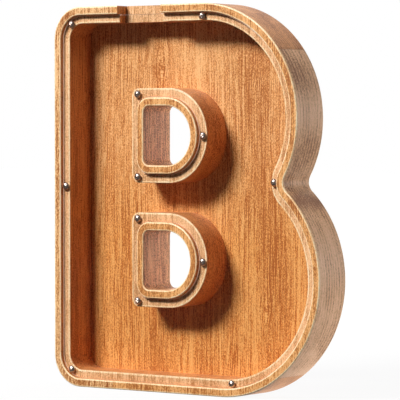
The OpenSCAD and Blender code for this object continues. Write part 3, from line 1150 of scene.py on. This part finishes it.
def beech(name, light, mid, dark, rings=0.16, coat=0.15, specular=0.5, drift=0.0, strength=1.0):
    """Beech in one finish. Oil leaves a satin sheen over open pores, and bare wood has less."""
    material, tree = empty_material(name)
    grain = add(tree, "ShaderNodeGroup", {}, node_tree=wood)
    own_values = dict(Light=hex_to_linear(light), Mid=hex_to_linear(mid), Dark=hex_to_linear(dark),
                      Rings=rings, Drift=drift, Grain=strength)
    for socket, value in own_values.items():
        grain.inputs[socket].default_value = value
    look = grain.outputs
    bump = add(tree, "ShaderNodeBump", {
        "Height": look["Height"], "Strength": RELIEF_STRENGTH, "Distance": RELIEF_DEPTH})
    shader = add(tree, PRINCIPLED, {
        "Base Color": look["Color"], "Roughness": look["Roughness"], "Normal": bump,
        "IOR": WOOD_IOR, "Specular IOR Level": specular,
        "Coat Weight": coat, "Coat Roughness": COAT_ROUGHNESS})
    add(tree, "ShaderNodeOutputMaterial", [shader])
    return material


print("the grain's relief is", round(RELIEF_DEPTH / MM, 2), "mm deep")

# %% The finishes
zone_materials = [
    # Planed and oiled: warm straw to brown, with a satin sheen where the light falls flat
    beech("oiled_beech_face", "#F4B878", "#DC9A56", "#A45C24"),
    # Sanded round and left without oil: paler, pinker and matt, with clear ring lines
    beech("sanded_beech_side", "#F4C29A", "#DCA97C", "#8E5830",
          rings=0.48, coat=0.0, specular=0.3, strength=0.5),
    # Routed and oiled, and painted a deeper orange for the light that the chamber's walls trade
    beech("oiled_beech_chamber_wall_painted_bounce", "#F0AE70", "#E49656", "#A65C2C", rings=0.1),
    # Routed through the board and sanded: pale and matt, with coarse grain
    beech("sanded_beech_hole_wall", "#FFCC9A", "#E6A476", "#8A522E",
          rings=0.3, coat=0.0, specular=0.3, strength=1.3),
    # Routed flat and oiled: deeper orange at its foot
    beech("oiled_beech_floor", "#F6B872", "#E2964C", "#AC5C1E", rings=0.1, drift=1.0),
    # Rubbed pale, and lighter still as painted highlight lines: the lightest wood, which shows as thin
    # bright lines
    beech("sanded_beech_arris_painted_highlight", "#FFE8C0", "#FFDAA6", "#E8B47C", rings=0.1),
    # Bare wood under the clear sheet: fresh and pale
    beech("raw_beech_ledge", "#F6C896", "#EAB07C", "#B87E48"),
    # Sawn and left as it came from the saw: matt and dark
    beech("sawn_beech_slot_wall", "#F4B070", "#DC8E52", "#94522A", coat=0.0, specular=0.3),
]
# All staves but the right one are of a darker, amber piece of beech on their outer side
amber_side = beech("sanded_amber_beech_side", "#E8A56C", "#CE8C56", "#8C5024",
                   rings=0.5, coat=0.0, specular=0.3, strength=0.5)
# The left stave's face has more contrast between its years
amber_face = beech("oiled_amber_beech_face", "#F6C68E", "#C07E42", "#94501E")
for stave in stave_objects:
    for zone, material in enumerate(zone_materials):
        stave.data.materials[zone] = material
for stave in stave_objects[:-1]:
    stave.data.materials[SIDE] = amber_side
stave_objects[0].data.materials[FACE] = amber_face
print("wood finishes:", [m.name for m in zone_materials])

# %% [markdown]
# ## The clear acrylic
# Cast acrylic is as clear as window glass and a little softer in its shine. A laser leaves its
# edges glossy, but with fine ripples that look faintly milky. Light that entered a real sheet
# leaves it there, so an edge glows; here that glow is painted on, as an emission on the edges that
# face sideways. A glass shader alone would darken the chamber behind
# it, because hardly any lamp light finds its way through two bending faces. So the sheet bends
# and mirrors only what is looked at, and lets the light of the lamps pass straight through.

# %% A helper for acrylic
ACRYLIC_IOR = 1.49
POLISHED = 0.04
MILKY = 0.25
MILK = hex_to_linear("#F6E4DA")
# The colour of a glow painted on the sheet's edges, for light piped through the sheet
PAINTED_GLOW_COLOUR = hex_to_linear("#F0C4A4")


def acrylic(name, tint, haze, mirror, painted_glow=0.0):
    """Cast acrylic. haze is the share of milk, mirror that of the shine, painted_glow the strength of a glow
    painted on edges that face sideways.
    """
    material, tree = empty_material(name)
    ray = add(tree, "ShaderNodeLightPath").outputs
    looked_at = add(tree, MATH, [ray["Is Camera Ray"], ray["Is Transmission Ray"]], operation="MAXIMUM")
    clear = add(tree, "ShaderNodeBsdfRefraction", {
        "Color": hex_to_linear(tint), "Roughness": 0.0, "IOR": ACRYLIC_IOR})
    gloss = add(tree, "ShaderNodeBsdfGlossy", {"Color": WHITE, "Roughness": POLISHED})
    fresnel = add(tree, "ShaderNodeFresnel", {"IOR": ACRYLIC_IOR})
    shine = add(tree, MATH, [fresnel, mirror], operation="MULTIPLY")
    pane = add(tree, MIX_SHADERS, [shine, clear, gloss])
    glow_level = 0.0
    if painted_glow:
        # A painted glow: an edge glows where it faces sideways, and stays dark along the top and the bottom
        facing = add(tree, SPLIT, [add(tree, COORDINATES).outputs["Normal"]]).outputs
        sideways = add(tree, MATH, [facing["X"]], operation="ABSOLUTE")
        glow_level = add(tree, MATH, [sideways, painted_glow], operation="MULTIPLY")
    milk = add(tree, PRINCIPLED, {
        "Base Color": MILK, "Roughness": MILKY, "IOR": ACRYLIC_IOR,
        "Emission Color": PAINTED_GLOW_COLOUR, "Emission Strength": glow_level})
    sheet_look = add(tree, MIX_SHADERS, [haze, pane, milk])
    let_through = add(tree, "ShaderNodeBsdfTransparent", {"Color": WHITE})
    shown = add(tree, MIX_SHADERS, [looked_at, let_through, sheet_look])
    add(tree, "ShaderNodeOutputMaterial", [shown])
    return material


# In the order of SHEET, SHEET_EDGE, SHEET_ARRIS and SHEET_FREE
for material in (
    acrylic("clear_acrylic", "#FCFCFC", haze=0.0, mirror=0.25),
    # The edge and the arris carry a painted glow
    acrylic("clear_acrylic_edge", "#FCF4F0", haze=0.6, mirror=0.6, painted_glow=0.85),
    acrylic("clear_acrylic_arris", "#FCF4F0", haze=0.85, mirror=1.0, painted_glow=0.5),
    acrylic("clear_acrylic_free_edge", "#FCF4F0", haze=0.15, mirror=1.0),
):
    window.data.materials.append(material)
print("acrylic finishes:", [m.name for m in window.data.materials])

# %% [markdown]
# ## The zinc-plated steel
# Small wood screws are pressed from steel wire and plated with bright zinc. The plating shows a
# broad highlight, and tumbling in the plater's drum leaves it finely scratched. Its slightly warm
# colour here is a painted reflection of the wood round the screws.
# An image could show scratches, but on a head of 4.6 mm a little noise in the roughness and in
# the bump does the same. Real scratches are far below a tenth of a millimetre, so they are drawn
# about half a millimetre wide to show at all.

# %% The steel
MARKS_PER_MM = 1.8
FEW_MARKS, MANY_MARKS = 0.3, 0.7
PLATED_SMOOTH, PLATED_DULL = 0.26, 0.42
MARK_DEPTH = 0.02 * MM
MARK_STRENGTH = 0.1

steel, tree = empty_material("zinc_plated_steel")
on_piece = add(tree, COORDINATES).outputs["Object"]
marks = add(tree, NOISE, {"Vector": on_piece, "Scale": MARKS_PER_MM / MM, "Detail": 3.0})
plating = add(tree, RANGE, [marks, FEW_MARKS, MANY_MARKS, PLATED_SMOOTH, PLATED_DULL])
dents = add(tree, "ShaderNodeBump", {"Height": marks, "Strength": MARK_STRENGTH, "Distance": MARK_DEPTH})
# The warm base colour is a painted reflection of the wood round the screws
plated = add(tree, PRINCIPLED, {
    "Base Color": hex_to_linear("#DCCABE"), "Metallic": 1.0, "Roughness": plating, "Normal": dents})
add(tree, "ShaderNodeOutputMaterial", [plated])
print("steel:", len(tree.nodes), "nodes")

# %% Set the screws
SEED = 7

points = bpy.data.meshes.new("screw_places")
points.from_pydata([place(x, z, SEAT_D) for x, z in SCREWS], [], [])
carrier = bpy.data.objects.new("screw_places", points)
bpy.context.scene.collection.objects.link(carrier)
modifier = carrier.modifiers.new("screws", "NODES")
modifier.node_group = screw
values = dict(SCREW_SIZES, Seed=SEED, Material=steel)
for item in screw.interface.items_tree:
    if item.in_out == "INPUT" and item.name in values:
        modifier[item.identifier] = values[item.name]
screw_mesh = bpy.data.meshes.new_from_object(carrier.evaluated_get(bpy.context.evaluated_depsgraph_get()))
bpy.data.objects.remove(carrier)
# Cutting and joining can leave empty material slots, so the steel is made the only one
screw_mesh.materials.clear()
screw_mesh.materials.append(steel)
screw_mesh.polygons.foreach_set("material_index", [0] * len(screw_mesh.polygons))
screws = bpy.data.objects.new("domed_screws", screw_mesh)
bpy.context.scene.collection.objects.link(screws)
smooth_by_angle(screws)
print("screws:", len(screws.data.polygons), "faces, materials", [m.name for m in screws.data.materials])

# %% [markdown]
# ## Joining the looks to the model
# Each piece rides on its body and stands for the solids that it replaces. The staves stay with
# the box, and the clear front and the screws can each be taken off.

# %% Ride and replace
STAVE_SLOTS = ["wood", "wood_amber", "wood", "wood_amber", "wood_tan"]
for stave, node, slot in zip(stave_objects, STAVES, STAVE_SLOTS):
    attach(stave, "box")
    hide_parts(node)
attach(window, "window")
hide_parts("front_window")
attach(screws, "screws")
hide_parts("frame_screws", "upper_ring_screws", "lower_ring_screws")
print("pieces:", len(stave_objects) + 2)
